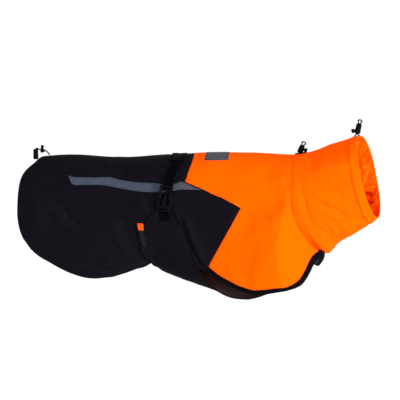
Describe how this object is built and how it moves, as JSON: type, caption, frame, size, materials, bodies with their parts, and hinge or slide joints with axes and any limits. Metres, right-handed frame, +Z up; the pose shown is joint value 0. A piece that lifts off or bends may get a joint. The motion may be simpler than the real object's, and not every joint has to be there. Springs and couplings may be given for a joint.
{
  "type": "dog raincoat",
  "caption": "Dog raincoat in its worn form: black back and belly panels, orange shoulders and stand-up collar, reflective flank tape, girth strap with side-release buckles and cord locks.",
  "frame": {"origin": "on the spine, on the underside of the back, half way along the back, where the coat rests on its wearer", "axes": "+X to the head, +Z up, -Y to the side with the ribbon label"},
  "size_m": [0.7179, 0.2034, 0.3535],
  "materials": {
    "black_shell": "matte coated weave",
    "orange_shell": "matte coated weave",
    "orange_lining": "smooth lining",
    "black_tape": "ribbed webbing and tape",
    "grey_reflective": "smooth glass-bead tape",
    "black_plastic": "moulded",
    "orange_ribbon": "woven ribbon",
    "grey_cord": "braided elastic"
  },
  "bodies": {
    "root": {"back_panel": "black_shell", "front_panel": "orange_shell", "collar": "orange_shell", "collar_hem": "orange_shell", "collar_lining": "orange_lining", "belly_panel": "black_shell", "hem_binding_near": "black_tape", "hem_binding_far": "black_tape", "belly_binding_near": "black_tape", "belly_binding_far": "black_tape", "stripe_near": "grey_reflective", "stripe_far": "grey_reflective", "girth_strap": "black_tape", "strap_keeper_near": "black_tape", "strap_keeper_far": "black_tape", "buckle_socket_near": "black_plastic", "buckle_socket_far": "black_plastic", "buckle_plug_near": "black_plastic", "buckle_plug_far": "black_plastic", "wing_tab_near": "black_tape", "wing_tab_far": "black_tape", "wing_label": "orange_ribbon", "spine_patch": "grey_reflective", "throat_tab": "black_tape", "tail_cord": "grey_cord", "tail_lock": "black_plastic", "tail_lock_top": "black_plastic", "tail_cord_end": "black_plastic", "neck_cord": "grey_cord", "neck_lock": "black_plastic", "neck_button": "black_plastic", "rim_cord": "grey_cord", "rim_lock": "black_plastic", "rim_button": "black_plastic"}
  },
  "joints": []
}
